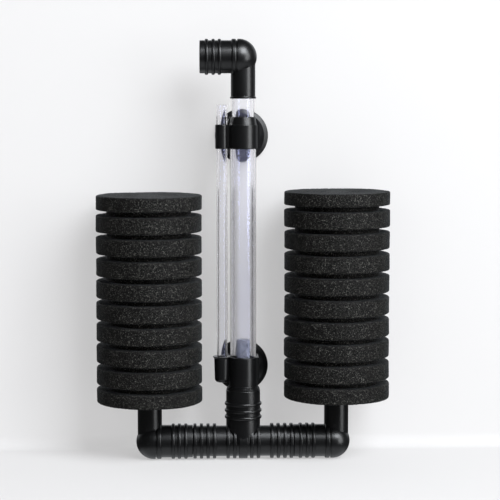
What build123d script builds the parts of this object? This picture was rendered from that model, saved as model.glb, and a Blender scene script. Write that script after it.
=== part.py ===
from build123d import *
import os

# Air-lift double sponge filter for an aquarium, in millimetres.
# Air blown down a thin clear tube leaves a nozzle at the foot of a clear riser. The rising
# bubbles lift water, which is drawn in through two foam cylinders at the ends of a ribbed
# manifold and leaves through an elbow at the top. Two suction cups hold it to the tank wall.
#
# +Z is up, +X is to the viewer's right and the cups press on a wall on the +Y side.
# The origin is the middle of the bounding box's base. X = 0, Y = 0 is the riser's axis.

# Fits, all radial
PLUG_FIT = 0.05  # a plastic plug or tube in its socket
FOAM_FIT = 0.3  # foam around the tube that it grips
CUP_FIT = 0.08  # a suction cup's neck in its plate

# Elbow, one moulding used three times
BARREL_R = 9.3
RIB_R = 10.15
BARREL_LENGTH = 32.4
LEG_FROM_MOUTH = 24.6
ELBOW_RIBS = (3.95, 7.7, 11.2)
ELBOW_RIB_WIDTH = 1.9
COLLAR_START = 18.0
COLLAR_END = 20.6
DOME_START = 21.4
BARREL_SOCKET_R = 7.8
BARREL_SOCKET_DEPTH = 16.0
PASSAGE_R = 6.2
LEG_R = 6.95
LEG_RIM_R = 7.4
LEG_RIM_HEIGHT = 1.3
LEG_RIM_SLOPE = 0.5
LEG_LENGTH = 23.5
LEG_SOCKET_R = 6.35
LEG_SOCKET_DEPTH = 12.0
LEG_PASSAGE_R = 5.4

# Tee
ARM_AXIS_Z = RIB_R
ARM_R = 8.75
ARM_END_X = 28.85
TEE_RIB_R = 10.1
TEE_RIBS_X = (4.9, 8.7, 16.5, 20.2, 24.0, 27.7)
TEE_RIB_WIDTH = 1.8
TEE_BLOCK_WIDTH = 4.8
SPIGOT_LENGTH = 12.5
UPRIGHT_R = 9.75
UPRIGHT_TOP_Z = 40.1
UPRIGHT_RIBS_Z = (24.4, 28.2, 32.1)
UPRIGHT_RIB_R = 10.6
UPRIGHT_SOCKET_DEPTH = 15.0

# Where the elbows stand
SIDE_MOUTH_X = 29.0
SPONGE_X = SIDE_MOUTH_X + LEG_FROM_MOUTH
OUTLET_AXIS_Z = 240.0 - RIB_R

# Strainers inside the foam
STRAINER_R = LEG_SOCKET_R - PLUG_FIT
STRAINER_BORE_R = 5.0
STRAINER_TOP_Z = 136.0
SLOT_ROWS = 5
SLOTS_AROUND = 6
SLOT_WIDTH = 2.2
SLOT_LENGTH = 13.0
SLOT_PITCH = 17.0
FIRST_SLOT_Z = 50.0
CAP_PLUG_LENGTH = 5.0
CAP_HEAD_HEIGHT = 2.5
CAP_ROUND = 1.5

# Foam cylinders
SPONGE_R = 30.0
SPONGE_LENGTH = 118.0
SPONGE_CORE_R = 23.9
SPONGE_BORE_R = STRAINER_R + FOAM_FIT
SPONGE_ROOF = 11.5
SPONGE_EDGE = 0.8
LEFT_SPONGE_Z = 33.75
RIGHT_SPONGE_Z = 35.7
LEFT_FIRST_DISC = 7.75
RIGHT_FIRST_DISC = 8.5
DISC = 9.29
GROOVE = 3.1
GROOVES = 9

# Tubes
RISER_R = 7.4
RISER_BORE_R = 6.6
RISER_FOOT_Z = 49.0
RISER_TOP_Z = 190.4
UPPER_TUBE_R = LEG_SOCKET_R - PLUG_FIT
UPPER_TUBE_BORE_R = 5.1
UPPER_TUBE_FOOT_Z = 58.4
AIR_TUBE_X = -12.0
AIR_TUBE_R = 3.0
AIR_TUBE_BORE_R = 2.0
AIR_TUBE_FOOT_Z = 49.3
AIR_TUBE_TOP_Z = 202.8

# Air connector at the foot of the riser
CONNECTOR_R = 8.2
CONNECTOR_RIM_Z = 59.0
CONNECTOR_FOOT_Z = 26.0
CONNECTOR_BORE_R = 6.2
SHOULDER_R = 9.5
SHOULDER_HEIGHT = 2.2
SHOULDER_STEPS = 3
STEP_ROUND = 0.15
AIR_CUP_R = 4.6
AIR_CUP_FOOT_R = 4.2
AIR_CUP_RIM_R = 5.3
AIR_CUP_FOOT_Z = 44.3
AIR_CUP_RIM_Z = 59.3
AIR_CUP_LIP = 0.4
AIR_CUP_FLARE = 0.7
AIR_CUP_FOOT_ROUND = 2.2
AIR_WEB_HALF = 2.0
AIR_CHANNEL_R = 1.2
BRIDGE_WIDTH = 5.0
BRIDGE_Z = (43.0, 48.6)
HUB_R = 3.2

# Air nozzle
NOZZLE_FOOT_R = 4.4
NOZZLE_TOP_R = 3.9
NOZZLE_STEM_R = 2.0
NOZZLE_STEM_Z = 46.6
NOZZLE_TOP_Z = 69.1
NOZZLE_STEM_BORE_R = 1.2
NOZZLE_BORE_R = 2.6
NOZZLE_EDGE = 0.9
NOZZLE_HOLE_R = 0.5
NOZZLE_HOLES = 6
NOZZLE_TIP = 2.0
NOZZLE_HOLE_DROP = 1.2

# Clip at the top of the riser
CLIP_R = 8.2
CLIP_FOOT_Z = 178.0
CLIP_TOP_Z = 191.7
CLIP_LOBE_R = 3.8
CONE_TOP_R = 6.95
CONE_TOP_Z = 196.0
CLIP_WEB_FRONT = 2.4
CLIP_WEB_BACK = 3.0
CLIP_WEB_STEP = 0.2
CLIP_STOP_GAP = 0.1

# Frames behind the connector and the clip, each with a keyhole plate for a suction cup
FRAME_HALF_WIDTH = 9.4
FRAME_WALL = 1.5
FRAME_FRONT_Y = 1.5
BULKHEAD_Y = (7.4, 9.0)
PLATE_Y = (14.6, 17.1)
LOWER_FRAME_Z = (42.6, 58.2)
UPPER_FRAME_Z = (177.6, 196.0)
UPPER_SHOULDER_Z = 191.6
UPPER_TOP_HALF_WIDTH = 7.2
LOWER_SHOULDER_Z = 56.2
LOWER_TOP_HALF_WIDTH = 9.0
FRAME_CORNER = 0.6
SHOULDER_CORNER = 1.5
KEYHOLE_NARROWING = 0.5

# Suction cups
WALL_Y = 30.0
CUP_R = 15.5
LOWER_CUP_Z = 49.4
UPPER_CUP_Z = 184.65
CUP_LIP = 0.8
CUP_LIP_FLAT = 1.6
CUP_HOLLOW = 5.6
CUP_DOME = 10.6
CUP_NECK_R = 3.2
CUP_HEAD_R = 4.6
CUP_HEAD_Y = (10.2, 14.2)

# Roundings of moulded edges
ROUND = 0.4
SOFT_RIM = 0.2
RIB_ROUND = 0.7
SHARP_RIB_ROUND = 0.45
BLOCK_ROUND = 0.3
PLUG_ROUND = 0.6


def turned(*outline):
    """A solid of revolution about Z from (radius, height, corner rounding) points."""
    points = [(radius, height) for radius, height, _ in outline]
    roundings = [rounding for _, _, rounding in outline]
    path = FilletPolyline(*points, radius=roundings, close=True)
    return revolve(Plane.XZ * make_face(path), Axis.Z)


def rod(radius, low, high):
    """A plain cylinder on the Z axis between two heights."""
    upright = Cylinder(radius, high - low, align=(Align.CENTER, Align.CENTER, Align.MIN))
    return Pos(0, 0, low) * upright


def pipe(radius, bore, low, high):
    """A plain tube on the Z axis with softened rims."""
    corners = (bore, low), (radius, low), (radius, high), (bore, high)
    return turned(*[(*corner, SOFT_RIM) for corner in corners])


def block(low, high):
    """A box between two opposite corners."""
    size = [b - a for a, b in zip(low, high)]
    return Pos(*low) * Box(*size, align=(Align.MIN, Align.MIN, Align.MIN))


def rib(inner, outer, middle, width, rounding):
    """A ring around Z that stands out of a pipe."""
    low, high = middle - width / 2, middle + width / 2
    return turned((inner, low, 0), (outer, low, rounding), (outer, high, rounding), (inner, high, 0))


def elbow():
    """The ribbed elbow: barrel along +X from its mouth at the origin, leg up along +Z."""
    barrel = turned((0, 0, 0), (BARREL_R, 0, ROUND), (BARREL_R, DOME_START, 0), (0, DOME_START, 0))
    for along in ELBOW_RIBS:
        barrel += rib(BARREL_R - 1, RIB_R, along, ELBOW_RIB_WIDTH, RIB_ROUND)
    collar_middle = (COLLAR_START + COLLAR_END) / 2
    barrel += rib(BARREL_R - 1, RIB_R, collar_middle, COLLAR_END - COLLAR_START, RIB_ROUND)
    dome_centre = BARREL_LENGTH - RIB_R
    barrel += rib(BARREL_R - 1, RIB_R, (DOME_START + dome_centre) / 2, dome_centre - DOME_START, 0)
    barrel += Pos(0, 0, dome_centre) * Sphere(
        RIB_R, arc_size1=0, arc_size2=90, align=(Align.CENTER, Align.CENTER, Align.MIN)
    )
    body = Rot(0, 90, 0) * barrel
    rim_z = LEG_LENGTH - LEG_RIM_HEIGHT
    leg = turned(
        (0, 0, 0),
        (LEG_R, 0, 0),
        (LEG_R, rim_z, ROUND),
        (LEG_RIM_R, rim_z + LEG_RIM_SLOPE, SOFT_RIM),
        (LEG_RIM_R, LEG_LENGTH, SOFT_RIM),
        (0, LEG_LENGTH, 0),
    )
    body += Pos(LEG_FROM_MOUTH, 0, 0) * leg
    hollow = rod(BARREL_SOCKET_R, -1, BARREL_SOCKET_DEPTH)
    hollow += rod(PASSAGE_R, 0, LEG_FROM_MOUTH)
    body -= Rot(0, 90, 0) * hollow
    ledge = LEG_LENGTH - LEG_SOCKET_DEPTH
    bore = Sphere(PASSAGE_R) + rod(LEG_PASSAGE_R, 0, ledge + 1) + rod(LEG_SOCKET_R, ledge, LEG_LENGTH + 1)
    return body - Pos(LEG_FROM_MOUTH, 0, 0) * bore


def tee():
    """Ribbed tee with two plug ends for the elbows and an upright socket for the riser's foot."""
    arms = rod(ARM_R, -ARM_END_X, ARM_END_X)
    arms += rib(ARM_R - 1, TEE_RIB_R, 0, TEE_BLOCK_WIDTH, BLOCK_ROUND)
    for side in (-1, 1):
        for along in TEE_RIBS_X:
            arms += rib(ARM_R - 1, TEE_RIB_R, side * along, TEE_RIB_WIDTH, SHARP_RIB_ROUND)
    plug_r = BARREL_SOCKET_R - PLUG_FIT
    plug_end = ARM_END_X + SPIGOT_LENGTH
    arms += turned(
        (0, -plug_end, 0), (plug_r, -plug_end, PLUG_ROUND), (plug_r, plug_end, PLUG_ROUND), (0, plug_end, 0)
    )
    body = Rot(0, 90, 0) * arms
    upright = turned((0, 0, 0), (UPRIGHT_R, 0, 0), (UPRIGHT_R, UPRIGHT_TOP_Z, ROUND), (0, UPRIGHT_TOP_Z, 0))
    upright -= rod(UPRIGHT_R + 1, -1, ARM_AXIS_Z)
    for height in UPRIGHT_RIBS_Z:
        upright += rib(UPRIGHT_R - 1, UPRIGHT_RIB_R, height, ELBOW_RIB_WIDTH, RIB_ROUND)
    body = Pos(0, 0, ARM_AXIS_Z) * body + upright
    bore = Rot(0, 90, 0) * rod(PASSAGE_R, -plug_end - 1, plug_end + 1)
    body -= Pos(0, 0, ARM_AXIS_Z) * bore
    body -= rod(PASSAGE_R, ARM_AXIS_Z, UPRIGHT_TOP_Z)
    socket_r = CONNECTOR_R + PLUG_FIT
    return body - rod(socket_r, UPRIGHT_TOP_Z - UPRIGHT_SOCKET_DEPTH, UPRIGHT_TOP_Z + 1)


def strainer_tube():
    """Slotted tube on a leg's axis, from the ledge in the leg up into the foam."""
    foot = ARM_AXIS_Z + LEG_LENGTH - LEG_SOCKET_DEPTH
    tube = pipe(STRAINER_R, STRAINER_BORE_R, foot, STRAINER_TOP_Z)
    for row in range(SLOT_ROWS):
        middle = FIRST_SLOT_Z + row * SLOT_PITCH
        slot = Rot(0, 90, 0) * extrude(
            SlotOverall(SLOT_LENGTH, SLOT_WIDTH), amount=STRAINER_R + 1, both=True
        )
        for turn in range(SLOTS_AROUND // 2):
            angle = 360 / SLOTS_AROUND * turn
            tube -= Pos(0, 0, middle) * Rot(0, 0, angle) * slot
    return tube


def strainer_cap():
    """Cap that plugs the top of a strainer tube."""
    head_top = STRAINER_TOP_Z + CAP_HEAD_HEIGHT
    plug_r = STRAINER_BORE_R - PLUG_FIT
    return turned(
        (0, STRAINER_TOP_Z - CAP_PLUG_LENGTH, 0),
        (plug_r, STRAINER_TOP_Z - CAP_PLUG_LENGTH, PLUG_ROUND),
        (plug_r, STRAINER_TOP_Z, 0),
        (STRAINER_R, STRAINER_TOP_Z, SOFT_RIM),
        (STRAINER_R, head_top, CAP_ROUND),
        (0, head_top, 0),
    )


def sponge(foot, first_disc):
    """Foam cylinder with turned grooves, closed at the top and bored from below."""
    top = foot + SPONGE_LENGTH
    body = turned((0, foot, 0), (SPONGE_R, foot, SPONGE_EDGE), (SPONGE_R, top, SPONGE_EDGE), (0, top, 0))
    for groove in range(GROOVES):
        low = foot + first_disc + groove * (GROOVE + DISC)
        body -= rod(SPONGE_R + 1, low, low + GROOVE) - rod(SPONGE_CORE_R, low, low + GROOVE)
    return body - rod(SPONGE_BORE_R, foot - 1, top - SPONGE_ROOF)


def holder_frame(low, high, shoulder, top_half_width, cup_z):
    """Frame open at top and bottom: two cheeks, a bulkhead and a keyhole plate for a cup's neck."""
    outline = make_face(
        FilletPolyline(
            (-FRAME_HALF_WIDTH, low),
            (FRAME_HALF_WIDTH, low),
            (FRAME_HALF_WIDTH, shoulder),
            (top_half_width, high),
            (-top_half_width, high),
            (-FRAME_HALF_WIDTH, shoulder),
            radius=[FRAME_CORNER, FRAME_CORNER, SHOULDER_CORNER] * 2,
            close=True,
        )
    )
    depth = PLATE_Y[1] - FRAME_FRONT_Y
    frame = Pos(0, PLATE_Y[1], 0) * extrude(Plane.XZ * outline, amount=depth)
    inside = FRAME_HALF_WIDTH - FRAME_WALL
    for front, back in ((FRAME_FRONT_Y - 1, BULKHEAD_Y[0]), (BULKHEAD_Y[1], PLATE_Y[0])):
        frame -= block((-inside, front, low - 1), (inside, back, high + 1))
    seat = Pos(0, PLATE_Y[1], cup_z) * Rot(90, 0, 0) * Cylinder(CUP_NECK_R + CUP_FIT, 6)
    slot_half = CUP_NECK_R - KEYHOLE_NARROWING
    slot = block((-slot_half, PLATE_Y[0] - 1, cup_z), (slot_half, PLATE_Y[1] + 1, high + 1))
    return frame - seat - slot


def connector():
    """Air connector: plug into the tee, riser socket, cup for the air tube and a bridge to the nozzle."""
    body = turned(
        (0, CONNECTOR_FOOT_Z, 0),
        (CONNECTOR_R, CONNECTOR_FOOT_Z, PLUG_ROUND),
        (CONNECTOR_R, CONNECTOR_RIM_Z, BLOCK_ROUND),
        (0, CONNECTOR_RIM_Z, 0),
    )
    step_height = SHOULDER_HEIGHT / SHOULDER_STEPS
    for step in range(SHOULDER_STEPS):
        step_r = SHOULDER_R - step * (SHOULDER_R - CONNECTOR_R) / SHOULDER_STEPS
        middle = UPRIGHT_TOP_Z + PLUG_FIT + (step + 0.5) * step_height
        body += rib(CONNECTOR_R - 1, step_r, middle, step_height, STEP_ROUND)
    lip_z = AIR_CUP_RIM_Z - AIR_CUP_LIP
    air_cup = turned(
        (0, AIR_CUP_FOOT_Z, 0),
        (AIR_CUP_FOOT_R, AIR_CUP_FOOT_Z, AIR_CUP_FOOT_ROUND),
        (AIR_CUP_R, lip_z - AIR_CUP_FLARE, ROUND),
        (AIR_CUP_RIM_R, lip_z, STEP_ROUND),
        (AIR_CUP_RIM_R, AIR_CUP_RIM_Z, STEP_ROUND),
        (0, AIR_CUP_RIM_Z, 0),
    )
    body += Pos(AIR_TUBE_X, 0, 0) * air_cup
    web_z = (AIR_CUP_FOOT_Z + 1, CONNECTOR_RIM_Z - 0.6)
    body += block((AIR_TUBE_X, -AIR_WEB_HALF, web_z[0]), (-RISER_R, AIR_WEB_HALF, web_z[1]))
    body += holder_frame(*LOWER_FRAME_Z, LOWER_SHOULDER_Z, LOWER_TOP_HALF_WIDTH, LOWER_CUP_Z)
    body -= rod(CONNECTOR_BORE_R, CONNECTOR_FOOT_Z - 1, RISER_FOOT_Z)
    body -= rod(RISER_R + PLUG_FIT, RISER_FOOT_Z, CONNECTOR_RIM_Z + 1)
    half = BRIDGE_WIDTH / 2
    body += block((-CONNECTOR_BORE_R - 1, -half, BRIDGE_Z[0]), (CONNECTOR_BORE_R + 1, half, BRIDGE_Z[1]))
    body += rod(HUB_R, *BRIDGE_Z)
    channel_z = (BRIDGE_Z[0] + BRIDGE_Z[1]) / 2
    body -= Pos(AIR_TUBE_X, 0, channel_z) * Rot(0, 90, 0) * rod(AIR_CHANNEL_R, 0, -AIR_TUBE_X)
    body -= rod(NOZZLE_STEM_R + PLUG_FIT, channel_z, BRIDGE_Z[1] + 1)
    well = rod(AIR_TUBE_BORE_R, channel_z, AIR_TUBE_FOOT_Z)
    well += rod(AIR_TUBE_R + PLUG_FIT, AIR_TUBE_FOOT_Z, AIR_CUP_RIM_Z + 1)
    return body - Pos(AIR_TUBE_X, 0, 0) * well


def nozzle():
    """Air nozzle on the bridge's hub: a hollow tapered post with small holes round its closed tip."""
    seat = BRIDGE_Z[1]
    post = turned(
        (0, NOZZLE_STEM_Z, 0),
        (NOZZLE_STEM_R, NOZZLE_STEM_Z, 0),
        (NOZZLE_STEM_R, seat, 0),
        (NOZZLE_FOOT_R, seat, 0),
        (NOZZLE_TOP_R, NOZZLE_TOP_Z, NOZZLE_EDGE),
        (0, NOZZLE_TOP_Z, 0),
    )
    roof = NOZZLE_TOP_Z - NOZZLE_TIP
    post -= rod(NOZZLE_STEM_BORE_R, NOZZLE_STEM_Z - 1, seat + NOZZLE_TIP)
    post -= rod(NOZZLE_BORE_R, seat + NOZZLE_TIP, roof)
    hole = Pos(0, 0, roof - NOZZLE_HOLE_DROP) * Rot(0, 90, 0) * rod(NOZZLE_HOLE_R, 0, NOZZLE_FOOT_R)
    for turn in range(NOZZLE_HOLES):
        post -= Rot(0, 0, 360 / NOZZLE_HOLES * turn) * hole
    return post


def band_outline(radius):
    """Outline of a solid band of the clip's height."""
    return (
        (0, CLIP_FOOT_Z, 0),
        (radius, CLIP_FOOT_Z, ROUND),
        (radius, CLIP_TOP_Z, ROUND),
        (0, CLIP_TOP_Z, 0),
    )


def clip():
    """Upper clip: a band round riser and air tube, a cone that grips the upper tube, and a frame."""
    body = turned(*band_outline(CLIP_R))
    cone_foot_r = CLIP_R - ROUND
    body += turned(
        (0, CLIP_TOP_Z - 1, 0),
        (cone_foot_r, CLIP_TOP_Z - 1, 0),
        (cone_foot_r, CLIP_TOP_Z, 1.0),
        (CONE_TOP_R, CONE_TOP_Z, BLOCK_ROUND),
        (0, CONE_TOP_Z, 0),
    )
    body += Pos(AIR_TUBE_X, 0, 0) * turned(*band_outline(CLIP_LOBE_R))
    web_low = (AIR_TUBE_X, -CLIP_WEB_FRONT, CLIP_FOOT_Z + CLIP_WEB_STEP)
    body += block(web_low, (-RISER_R, CLIP_WEB_BACK, CLIP_TOP_Z - CLIP_WEB_STEP))
    body += holder_frame(*UPPER_FRAME_Z, UPPER_SHOULDER_Z, UPPER_TOP_HALF_WIDTH, UPPER_CUP_Z)
    seat_top = RISER_TOP_Z + CLIP_STOP_GAP
    body -= rod(RISER_R + PLUG_FIT, CLIP_FOOT_Z - 1, seat_top)
    body -= rod(UPPER_TUBE_R + PLUG_FIT, seat_top - 1, CONE_TOP_Z + 1)
    return body - Pos(AIR_TUBE_X, 0, 0) * rod(AIR_TUBE_R + PLUG_FIT, CLIP_FOOT_Z - 1, CLIP_TOP_Z + 1)


def suction_cup(height):
    """Rubber cup with its lip on the wall and a mushroom head held in a frame's keyhole."""
    head_back, head_front = WALL_Y - CUP_HEAD_Y[1], WALL_Y - CUP_HEAD_Y[0]
    cup = turned(
        (CUP_R - CUP_LIP_FLAT, 0, 0.3),
        (CUP_R, 0, 0.2),
        (CUP_R, CUP_LIP, 0.3),
        (CUP_R - 2.4, CUP_LIP + 0.9, 2),
        (CUP_R - 6.2, CUP_DOME - 3.2, 6),
        (CUP_NECK_R, CUP_DOME, 1.0),
        (CUP_NECK_R, head_back, 0),
        (CUP_HEAD_R, head_back, 0.5),
        (CUP_HEAD_R, head_front, 1.8),
        (0, head_front, 0),
        (0, CUP_HOLLOW, 0),
        (CUP_R / 2, CUP_HOLLOW - 1.0, 6),
        (CUP_R - CUP_LIP_FLAT - 1.4, CUP_LIP + 0.6, 1.5),
    )
    return Pos(0, WALL_Y, height) * Rot(90, 0, 0) * cup


side_elbow = Pos(SIDE_MOUTH_X, 0, ARM_AXIS_Z) * elbow()
half_turn = Rot(0, 0, 180)
right_axis = Pos(SPONGE_X, 0, 0)
left_axis = Pos(-SPONGE_X, 0, 0)
air_axis = Pos(AIR_TUBE_X, 0, 0)

parts = {
    "tee_manifold": tee(),
    "right_elbow": side_elbow,
    "left_elbow": half_turn * side_elbow,
    "outlet_elbow": Pos(-LEG_FROM_MOUTH, 0, OUTLET_AXIS_Z) * Rot(180, 0, 0) * elbow(),
    "right_strainer_tube": right_axis * strainer_tube(),
    "left_strainer_tube": left_axis * strainer_tube(),
    "right_strainer_cap": right_axis * strainer_cap(),
    "left_strainer_cap": left_axis * strainer_cap(),
    "right_sponge": right_axis * sponge(RIGHT_SPONGE_Z, RIGHT_FIRST_DISC),
    "left_sponge": left_axis * sponge(LEFT_SPONGE_Z, LEFT_FIRST_DISC),
    "air_jet_connector": connector(),
    "air_nozzle": nozzle(),
    "lower_riser_tube": pipe(RISER_R, RISER_BORE_R, RISER_FOOT_Z, RISER_TOP_Z),
    "upper_riser_tube": pipe(
        UPPER_TUBE_R,
        UPPER_TUBE_BORE_R,
        UPPER_TUBE_FOOT_Z,
        OUTLET_AXIS_Z - LEG_LENGTH + LEG_SOCKET_DEPTH,
    ),
    "air_tube": air_axis * pipe(AIR_TUBE_R, AIR_TUBE_BORE_R, AIR_TUBE_FOOT_Z, AIR_TUBE_TOP_Z),
    "upper_clip": clip(),
    "upper_suction_cup": suction_cup(UPPER_CUP_Z),
    "lower_suction_cup": suction_cup(LOWER_CUP_Z),
}

os.makedirs("parts", exist_ok=True)
for name, shape in parts.items():
    export_step(shape, f"parts/{name}.step")
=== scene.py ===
import math

import bpy
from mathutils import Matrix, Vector, noise

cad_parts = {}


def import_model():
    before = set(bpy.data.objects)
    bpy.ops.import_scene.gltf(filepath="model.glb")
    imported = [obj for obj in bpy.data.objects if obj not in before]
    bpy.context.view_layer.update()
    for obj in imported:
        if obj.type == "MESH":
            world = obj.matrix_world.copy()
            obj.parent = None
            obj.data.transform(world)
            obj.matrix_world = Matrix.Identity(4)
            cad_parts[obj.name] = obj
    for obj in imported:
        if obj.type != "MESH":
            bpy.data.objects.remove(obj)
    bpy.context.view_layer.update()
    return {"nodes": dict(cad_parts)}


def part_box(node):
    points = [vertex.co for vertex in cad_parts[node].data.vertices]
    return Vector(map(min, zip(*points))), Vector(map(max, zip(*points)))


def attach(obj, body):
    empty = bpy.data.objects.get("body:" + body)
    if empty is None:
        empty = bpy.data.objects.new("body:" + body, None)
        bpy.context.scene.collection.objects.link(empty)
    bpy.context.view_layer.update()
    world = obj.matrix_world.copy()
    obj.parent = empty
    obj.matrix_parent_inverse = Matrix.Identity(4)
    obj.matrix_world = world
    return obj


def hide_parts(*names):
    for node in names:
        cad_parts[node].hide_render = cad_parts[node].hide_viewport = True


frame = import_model()

# Everything is in metres, +Z up, with the middle of the object's base at the origin.
MM = 0.001

# Camera
LENS_MM = 128.5
SENSOR_MM = 36.0
CAMERA_AT = (-0.0323, -1.0125, 0.21485)
CAMERA_PITCH_DEG = 5.33
CAMERA_YAW_DEG = -2.05
CAMERA_REACH = 20.0

# Foam cylinders, as turned in the CAD model
FIRST_DISC = {"left_sponge": 7.75 * MM, "right_sponge": 8.5 * MM}
DISC = 9.29 * MM
GROOVE = 3.1 * MM
GROOVES = 9
FOAM_CORE_R = 23.9 * MM  # at the bottom of the grooves
FOAM_BORE_R = 6.6 * MM
FOAM_ROOF = 11.5 * MM  # over the bore's blind end
FOAM_EDGE_R = 0.7 * MM
FOAM_ROOT_R = 0.5 * MM  # rounding at the bottom of the grooves

# Foam skin
FOAM_COLUMNS = 240
FACE_STEP = 0.75 * MM  # mesh step on the discs' upright faces
FACE_FROM_R = 27.0 * MM  # an upright stretch further out than this is a disc's face
FLAT_STEP = 1.3 * MM
BORE_STEP = 5.0 * MM
SMOOTH_NEAR_BORE = 0.3 * MM  # the skin closer to the bore than this stays as it is
CELL = 1.15 * MM  # size of a foam cell
PORE_DEPTH = 0.26 * MM
PORE_SLOPE = 1.6  # how fast a cell reaches its depth
PORE_LIFT = 0.5  # share of the depth that the struts stand proud
WAVE_LENGTH = 16.0 * MM
WAVE_HEIGHT = 0.22 * MM
STRUT_SCALE = 1900  # of the struts' pattern, per metre

# Clear tubes
TUBE_COLUMNS = 144
TUBE_RIM_R = 0.2 * MM
TUBE_END = 0.5 * MM  # how far from each end the rim's shading may reach
RISER_BORE_R = 6.6 * MM
UPPER_BORE_R = 5.1 * MM
AIR_BORE_R = 2.0 * MM

ROUNDING_STEPS = 4  # chords of a rounded corner

# Round backdrop: a wide floor whose rim curves up into a wall all round
FLOOR_R = 1.7
FLOOR_INNER_R = 0.5
FLOOR_DROP = 1 * MM  # under the near floor
BACKDROP_CURVE_R = 0.9
BACKDROP_STEPS = 24
BACKDROP_COLUMNS = 96
BACKDROP_SHADE, BACKDROP_GLOW = 0.75, 0.3
STAGE_TOP = 2.6

# Near floor and the wall that the suction cups face
WALL_SHADE, WALL_GLOW = 0.26, 0.43
WALL_GAP = 1.3 * MM  # from the suction cups' lips to the wall
WALL_HALF_WIDTH = 2.0
WALL_FLAT_FROM = 0.02  # above the cove
COVE_R = 8 * MM  # where the wall meets the floor
COVE_STEPS = 12
FLOOR_FRONT = -1.5
FLOOR_FLAT_FROM = -0.3

# Light
COOL_WHITE = (0.93, 0.96, 1.0)
PALE_WHITE = (0.96, 0.98, 1.0)
LIGHTS_AIM = (0, 0, 0.12)  # half the object's height

# What polished surfaces see of the room: its strengths, and where each part fades, as the
# height (or, for the wall's sides, the depth) of a direction of length 1
ROOM_DARK = 0.05
ROOM_FLOOR = 0.75
ROOM_BACK = 0.85
ROOM_FLOOR_FADE = (-0.72, -0.4)
ROOM_BACK_SIDES = (0.3, 0.8)
ROOM_BACK_FOOT = (-0.1, 0.08)
ROOM_BACK_TOP = (0.4, 0.7)


# ---------------------------------------------------------------- materials
# Every texture's scale is per metre, and a ramp's stops are (position, colour).


class Nodes:
    """A material's node tree with a Principled shader, and short calls to add nodes to it."""

    def __init__(self, name):
        self.material = bpy.data.materials.new(name)
        self.material.use_nodes = True
        self.tree = self.material.node_tree
        self.shader = self.tree.nodes["Principled BSDF"]
        self.place = self.add("ShaderNodeTexCoord").outputs["Object"]

    def add(self, kind, **settings):
        node = self.tree.nodes.new(kind)
        for key, value in settings.items():
            setattr(node, key, value)
        return node

    def link(self, output, node, socket):
        self.tree.links.new(output, node.inputs[socket])

    def set(self, **sockets):
        for key, value in sockets.items():
            self.shader.inputs[key.replace("_", " ")].default_value = value

    def noise(self, scale, detail=2.0, roughness=0.5):
        node = self.add("ShaderNodeTexNoise")
        node.inputs["Scale"].default_value = scale
        node.inputs["Detail"].default_value = detail
        node.inputs["Roughness"].default_value = roughness
        self.link(self.place, node, "Vector")
        return node.outputs["Fac"]

    def cells(self, scale):
        node = self.add("ShaderNodeTexVoronoi")
        node.inputs["Scale"].default_value = scale
        self.link(self.place, node, "Vector")
        return node.outputs["Distance"]

    def ramp(self, value, *stops):
        """Colours by value."""
        node = self.add("ShaderNodeValToRGB")
        while len(node.color_ramp.elements) < len(stops):
            node.color_ramp.elements.new(0.5)
        for element, (position, colour) in zip(node.color_ramp.elements, stops):
            element.position = position
            element.color = (*colour, 1)
        self.link(value, node, "Fac")
        return node.outputs["Color"]

    def scaled(self, value, low, high):
        """Value from 0..1 to low..high."""
        node = self.add("ShaderNodeMapRange")
        node.inputs["To Min"].default_value = low
        node.inputs["To Max"].default_value = high
        self.link(value, node, "Value")
        return node.outputs["Result"]

    def sum(self, a, b, share):
        """a plus share times b."""
        node = self.add("ShaderNodeMath", operation="MULTIPLY_ADD")
        self.link(b, node, 0)
        node.inputs[1].default_value = share
        self.link(a, node, 2)
        return node.outputs["Value"]

    def colour(self, output):
        self.link(output, self.shader, "Base Color")

    def roughness(self, output):
        self.link(output, self.shader, "Roughness")

    def bump(self, height, strength, distance):
        node = self.add("ShaderNodeBump")
        node.inputs["Strength"].default_value = strength
        node.inputs["Distance"].default_value = distance
        self.link(height, node, "Height")
        self.link(node.outputs["Normal"], self.shader, "Normal")


def black_plastic():
    """Moulded black plastic with a fine matt grain and faint flow marks."""
    m = Nodes("black_plastic")
    m.set(IOR=1.5)
    flow = m.noise(55, 3.0)
    m.colour(m.ramp(flow, (0.3, (0.0018, 0.0018, 0.002)), (0.7, (0.0036, 0.0037, 0.004))))
    m.roughness(m.scaled(m.noise(900, 2.0), 0.26, 0.37))
    grain = m.sum(m.noise(3200, 1.0), m.noise(260, 3.0), 0.6)
    m.bump(grain, 0.25, 0.00006)
    return m.material


def black_rubber():
    """Soft black rubber with a faint satin bloom."""
    m = Nodes("black_rubber")
    m.set(IOR=1.45)
    m.colour(m.ramp(m.noise(90, 3.0), (0.3, (0.002, 0.002, 0.0024)), (0.7, (0.004, 0.004, 0.0045))))
    m.roughness(m.scaled(m.noise(500, 2.0), 0.34, 0.5))
    m.bump(m.noise(1500, 2.0), 0.2, 0.00005)
    return m.material


def clear_plastic():
    """Thin extruded clear plastic with a faint violet cast."""
    m = Nodes("clear_plastic")
    m.set(IOR=1.37, Transmission_Weight=1.0, Specular_Tint=(0.6, 0.64, 1.0, 1.0))
    m.colour(m.ramp(m.noise(30, 1.0), (0.3, (0.966, 0.967, 0.996)), (0.7, (0.976, 0.977, 0.999))))
    m.roughness(m.scaled(m.noise(140, 2.0), 0.07, 0.12))
    return m.material


def milky_plastic():
    """Half clear, slightly blue moulded plastic."""
    m = Nodes("milky_plastic")
    m.set(IOR=1.45, Transmission_Weight=0.7)
    m.colour(m.ramp(m.noise(200, 2.0), (0.3, (0.56, 0.6, 0.72)), (0.7, (0.64, 0.68, 0.79))))
    m.roughness(m.scaled(m.noise(600, 2.0), 0.18, 0.3))
    m.bump(m.noise(900, 2.0), 0.15, 0.00008)
    return m.material


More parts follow.
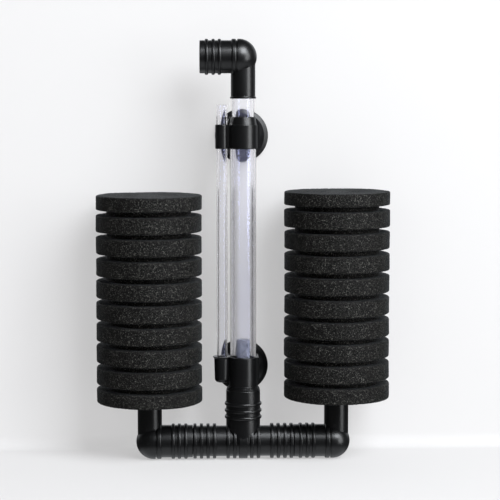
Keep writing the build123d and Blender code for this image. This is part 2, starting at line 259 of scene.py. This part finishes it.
def foam():
    """Open-celled black foam; its base colour holds painted shade in the pores and painted highlights on
    a few struts.
    """
    m = Nodes("black_foam")
    m.set(IOR=1.45, Sheen_Weight=0.045, Sheen_Roughness=0.3, Sheen_Tint=(0.8, 0.9, 1.0, 1.0))
    m.shader.inputs["Specular IOR Level"].default_value = 0.12
    struts = m.noise(STRUT_SCALE, 2.5, 0.7)
    texture = m.sum(struts, m.cells(1 / CELL), 0.12)
    # Base colour from the pore-and-strut pattern: painted shade in the pores, painted highlights where
    # the struts stand out.
    m.colour(
        m.ramp(
            texture,
            (0.42, (0.0006, 0.0006, 0.0006)),
            (0.56, (0.002, 0.0019, 0.0017)),
            (0.65, (0.012, 0.0118, 0.0107)),
            (0.75, (0.095, 0.0935, 0.085)),
        )
    )
    m.roughness(m.scaled(struts, 0.5, 0.68))
    m.bump(texture, 0.7, 0.0004)
    return m.material


def stage_paint(name, shade, glow):
    """Pale studio surface with a little light of its own, so that it has no edge."""
    m = Nodes(name)
    m.set(Base_Color=(shade, shade * 0.99, shade * 0.985, 1), Roughness=0.9)
    m.set(Emission_Color=(1.0, 0.995, 1.0, 1), Emission_Strength=glow)
    m.shader.inputs["Specular IOR Level"].default_value = 0.1
    return m


def one_sided(m):
    """The same surface, seen only from its front."""
    clear = m.add("ShaderNodeBsdfTransparent")
    side = m.add("ShaderNodeNewGeometry").outputs["Backfacing"]
    mix = m.add("ShaderNodeMixShader")
    m.link(side, mix, 0)
    m.link(m.shader.outputs["BSDF"], mix, 1)
    m.link(clear.outputs["BSDF"], mix, 2)
    m.link(mix.outputs["Shader"], m.tree.nodes["Material Output"], "Surface")
    return m


# ---------------------------------------------------------------- meshes


def add_mesh(name, points, faces, material):
    mesh = bpy.data.meshes.new(name)
    mesh.from_pydata(points, [], faces)
    mesh.update()
    mesh.materials.append(material)
    mesh.polygons.foreach_set("use_smooth", [True] * len(mesh.polygons))
    piece = bpy.data.objects.new(name, mesh)
    bpy.context.scene.collection.objects.link(piece)
    return piece


def revolve_profile(profile, columns, centre=(0.0, 0.0), closed=False):
    """Points and faces of a profile of (radius, height) turned round a vertical axis.
    A row of radius 0 is a single point, and a closed profile joins its last row to its first."""
    points, faces, rows = [], [], []
    for radius, height in profile:
        count = columns if radius > 0 else 1
        rows.append(range(len(points), len(points) + count))
        for column in range(count):
            angle = 2 * math.pi * column / columns
            x = centre[0] + radius * math.cos(angle)
            y = centre[1] + radius * math.sin(angle)
            points.append((x, y, height))
    pairs = list(zip(rows, rows[1:]))
    if closed:
        pairs.append((rows[-1], rows[0]))
    for low, high in pairs:
        for column in range(columns):
            after = (column + 1) % columns
            corners = [low[column % len(low)], low[after % len(low)]]
            corners += [high[after % len(high)], high[column % len(high)]]
            corners = list(dict.fromkeys(corners))
            if len(corners) > 2:
                faces.append(tuple(corners))
    return points, faces


def rounded(corners):
    """An outline of (radius, height, rounding) corners with each rounding cut into a few points."""
    outline = [Vector((corners[0][0], corners[0][1]))]
    for before, corner, after in zip(corners, corners[1:], corners[2:]):
        here = Vector(corner[:2])
        if corner[2] == 0:
            outline.append(here)
            continue
        start = here + (Vector(before[:2]) - here).normalized() * corner[2]
        end = here + (Vector(after[:2]) - here).normalized() * corner[2]
        for step in range(ROUNDING_STEPS + 1):
            t = step / ROUNDING_STEPS
            outline.append(start.lerp(here, t).lerp(here.lerp(end, t), t))
    outline.append(Vector((corners[-1][0], corners[-1][1])))
    return outline


def resampled(outline, step_of):
    """The outline with long stretches cut into even steps; step_of gives the step for a stretch."""
    points = [outline[0]]
    for start, end in zip(outline, outline[1:]):
        count = max(1, round((end - start).length / step_of(start, end)))
        points += [start.lerp(end, n / count) for n in range(1, count + 1)]
    return points


# ---------------------------------------------------------------- foam cylinders


def foam_outline(foot, top, outer, first_disc):
    """Corners from the foot of the bore, out and up over the discs, to the middle of the top."""
    corners = [(FOAM_BORE_R, foot, 0), (outer, foot, FOAM_EDGE_R)]
    height = foot + first_disc
    for _ in range(GROOVES):
        corners.append((outer, height, FOAM_EDGE_R))
        corners.append((FOAM_CORE_R, height, FOAM_ROOT_R))
        height += GROOVE
        corners.append((FOAM_CORE_R, height, FOAM_ROOT_R))
        corners.append((outer, height, FOAM_EDGE_R))
        height += DISC
    corners += [(outer, top, FOAM_EDGE_R), (0.0, top, 0)]
    return corners


def foam_step(start, end):
    """Mesh step along the outline: fine on the discs' faces, coarser elsewhere."""
    upright = abs(end.x - start.x) < abs(end.y - start.y)
    return FACE_STEP if upright and start.x > FACE_FROM_R else FLAT_STEP


def foam_height(place):
    """How far the foam's skin stands in or out at a place: open cells over slow waves."""
    nearest = noise.voronoi(place / CELL)[0]
    wall = nearest[1] - nearest[0]
    pore = PORE_DEPTH * (PORE_LIFT - min(1.0, wall * PORE_SLOPE))
    wave = WAVE_HEIGHT * noise.noise(place / WAVE_LENGTH)
    return pore + wave


def foam_cylinder(name, node, body):
    """A grooved foam cylinder with an open-celled skin and a blind bore, in place of the plain solid."""
    low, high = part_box(node)
    centre = ((low.x + high.x) / 2, (low.y + high.y) / 2)
    outer = (high.x - low.x) / 2
    outline = rounded(foam_outline(low.z, high.z, outer, FIRST_DISC[node]))
    profile = resampled(outline, foam_step)
    roof = high.z - FOAM_ROOF
    bore = resampled([Vector((0, roof)), Vector((FOAM_BORE_R, roof)), outline[0]], lambda a, b: BORE_STEP)
    profile = bore[:-1] + profile
    points, faces = revolve_profile([tuple(p) for p in profile], FOAM_COLUMNS, centre)
    piece = add_mesh(name, points, faces, materials["foam"])
    mesh = piece.data
    normals = [vertex.normal.copy() for vertex in mesh.vertices]
    for vertex, normal in zip(mesh.vertices, normals):
        place = vertex.co.copy()
        if math.hypot(place.x - centre[0], place.y - centre[1]) > FOAM_BORE_R + SMOOTH_NEAR_BORE:
            vertex.co = place + normal * foam_height(place)
    mesh.update()
    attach(piece, body)
    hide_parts(node)


# ---------------------------------------------------------------- clear tubes


def clear_tube(name, node, bore, body):
    """A fine clear tube in place of the plain one, with softened rims."""
    low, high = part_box(node)
    centre = ((low.x + high.x) / 2, (low.y + high.y) / 2)
    outer = (high.x - low.x) / 2
    middle = (low.z + high.z) / 2
    upper, lower = high.z - TUBE_END, low.z + TUBE_END
    corners = [
        (outer, middle, 0),
        (outer, upper, 0),
        (outer, high.z, TUBE_RIM_R),
        (bore, high.z, TUBE_RIM_R),
        (bore, upper, 0),
        (bore, lower, 0),
        (bore, low.z, TUBE_RIM_R),
        (outer, low.z, TUBE_RIM_R),
        (outer, lower, 0),
        (outer, middle, 0),
    ]
    profile = [tuple(p) for p in rounded(corners)][:-1]
    points, faces = revolve_profile(profile, TUBE_COLUMNS, centre, closed=True)
    piece = add_mesh(name, points, faces, materials["clear"])
    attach(piece, body)
    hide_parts(node)


# ---------------------------------------------------------------- stage, light, camera


def quarter_turn(radius, steps):
    """Run and rise along a quarter circle that starts level."""
    for step in range(steps + 1):
        angle = math.pi / 2 * step / steps
        yield radius * math.sin(angle), radius * (1 - math.cos(angle))


def stage():
    """The round backdrop, and the near floor and wall that the filter stands against."""
    curve = quarter_turn(BACKDROP_CURVE_R, BACKDROP_STEPS)
    profile = [(0.0, -FLOOR_DROP), (FLOOR_INNER_R, -FLOOR_DROP)]
    profile += [(FLOOR_R + run, rise - FLOOR_DROP) for run, rise in curve]
    profile.append((FLOOR_R + BACKDROP_CURVE_R, STAGE_TOP))
    points, faces = revolve_profile(profile, BACKDROP_COLUMNS)
    backdrop = add_mesh("studio_backdrop", points, faces, materials["backdrop"])
    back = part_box("upper_suction_cup")[1].y + WALL_GAP
    section = [(FLOOR_FRONT, 0.0), (FLOOR_FLAT_FROM, 0.0)]
    section += [(back - COVE_R + run, rise) for run, rise in quarter_turn(COVE_R, COVE_STEPS)]
    section += [(back, COVE_R + WALL_FLAT_FROM), (back, STAGE_TOP)]
    points = [(side * WALL_HALF_WIDTH, y, z) for y, z in section for side in (-1, 1)]
    faces = [(n, n + 1, n + 3, n + 2) for n in range(0, len(points) - 2, 2)]
    wall = add_mesh("studio_wall", points, faces, materials["wall"])
    for piece in (backdrop, wall):
        piece.visible_glossy = False


def softbox(name, direction, distance, size, power, colour):
    """A rectangular area light that faces the middle of the object."""
    data = bpy.data.lights.new(name, "AREA")
    data.shape = "RECTANGLE"
    data.size, data.size_y = size
    data.energy = power
    data.color = colour
    light = bpy.data.objects.new(name, data)
    bpy.context.scene.collection.objects.link(light)
    towards = Vector(direction).normalized()
    light.location = Vector(LIGHTS_AIM) + towards * distance
    light.rotation_euler = towards.to_track_quat("Z", "Y").to_euler()
    light.visible_camera = False


def world():
    """The room that polished surfaces mirror: dark, with a pale floor and a pale wall behind."""
    room = bpy.data.worlds.new("studio_room")
    room.use_nodes = True
    bpy.context.scene.world = room
    tree = room.node_tree
    background = tree.nodes["Background"]
    background.inputs["Color"].default_value = (*COOL_WHITE, 1)
    direction = tree.nodes.new("ShaderNodeSeparateXYZ")
    coordinates = tree.nodes.new("ShaderNodeTexCoord")
    tree.links.new(coordinates.outputs["Generated"], direction.inputs["Vector"])

    def eased(axis, fade, low, high):
        node = tree.nodes.new("ShaderNodeMapRange")
        node.interpolation_type = "SMOOTHSTEP"
        for key, value in zip(("From Min", "From Max", "To Min", "To Max"), (*fade, low, high)):
            node.inputs[key].default_value = value
        tree.links.new(direction.outputs[axis], node.inputs["Value"])
        return node.outputs["Result"]

    def joined(operation, a, b):
        node = tree.nodes.new("ShaderNodeMath")
        node.operation = operation
        tree.links.new(a, node.inputs[0])
        tree.links.new(b, node.inputs[1])
        return node.outputs["Value"]

    floor = eased("Z", ROOM_FLOOR_FADE, ROOM_FLOOR, ROOM_DARK)
    wall = eased("Y", ROOM_BACK_SIDES, 0.0, ROOM_BACK)
    wall = joined("MULTIPLY", wall, eased("Z", ROOM_BACK_FOOT, 0.0, 1.0))
    wall = joined("MULTIPLY", wall, eased("Z", ROOM_BACK_TOP, 1.0, 0.0))
    tree.links.new(joined("ADD", floor, wall), background.inputs["Strength"])


def camera():
    """The camera, about a metre in front and looking slightly down."""
    scene = bpy.context.scene
    data = bpy.data.cameras.new("camera")
    data.lens = LENS_MM
    data.sensor_width = SENSOR_MM
    data.clip_end = CAMERA_REACH
    eye = bpy.data.objects.new("camera", data)
    scene.collection.objects.link(eye)
    eye.location = CAMERA_AT
    eye.rotation_euler = (math.radians(90 - CAMERA_PITCH_DEG), 0, math.radians(CAMERA_YAW_DEG))
    scene.camera = eye


# ---------------------------------------------------------------- the scene

materials = {
    "plastic": black_plastic(),
    "rubber": black_rubber(),
    "clear": clear_plastic(),
    "milky": milky_plastic(),
    "foam": foam(),
    "backdrop": stage_paint("backdrop_white", BACKDROP_SHADE, BACKDROP_GLOW).material,
    "wall": one_sided(stage_paint("wall_white", WALL_SHADE, WALL_GLOW)).material,
}
finish_of = {
    "air_nozzle": "milky",
    "upper_suction_cup": "rubber",
    "lower_suction_cup": "rubber",
}
for name, node in frame["nodes"].items():
    for slot in node.material_slots:
        slot.material = materials[finish_of.get(name, "plastic")]

camera()
foam_cylinder("left_foam_cylinder", "left_sponge", "left_foam")
foam_cylinder("right_foam_cylinder", "right_sponge", "right_foam")
clear_tube("clear_riser", "lower_riser_tube", RISER_BORE_R, "base")
clear_tube("clear_air_tube", "air_tube", AIR_BORE_R, "base")
clear_tube("clear_upper_tube", "upper_riser_tube", UPPER_BORE_R, "upper_tube")
stage()
world()
softbox(
    "key_softbox",
    direction=(0.42, -0.62, 0.66),
    distance=1.6,
    size=(1.0, 1.0),
    power=46,
    colour=COOL_WHITE,
)
softbox(
    "side_softbox",
    direction=(0.81, -0.58, 0.12),
    distance=1.3,
    size=(0.6, 1.0),
    power=10.5,
    colour=PALE_WHITE,
)
bpy.context.scene.view_settings.view_transform = "Standard"
